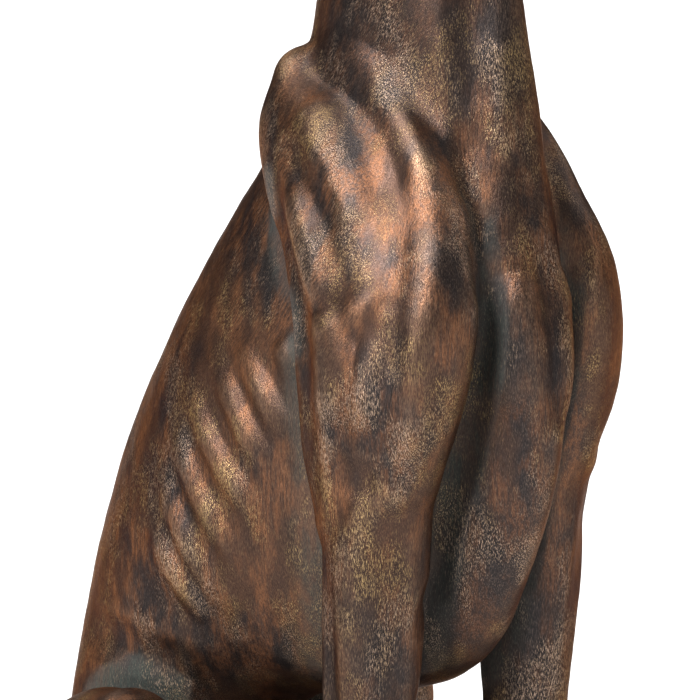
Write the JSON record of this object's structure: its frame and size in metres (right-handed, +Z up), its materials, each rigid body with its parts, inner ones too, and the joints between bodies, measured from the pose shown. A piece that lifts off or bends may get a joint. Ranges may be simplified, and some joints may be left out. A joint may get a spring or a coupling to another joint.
{
  "type": "greyhound statue",
  "caption": "Seated greyhound statue with a bronze finish on a low rectangular base.",
  "frame": {"origin": "middle of the base's underside", "axes": "+Z up, the dog looks along -Y, its left side is +X"},
  "size_m": [0.3182, 0.5238, 0.7982],
  "materials": {
    "bronze": "aged brown bronze, semi-gloss, highlights rubbed copper and gold, grey-green in the recesses",
    "dark bronze": "dark brown bronze, satin"
  },
  "bodies": {
    "root": {"greyhound": "bronze", "base": "dark bronze"}
  },
  "joints": []
}
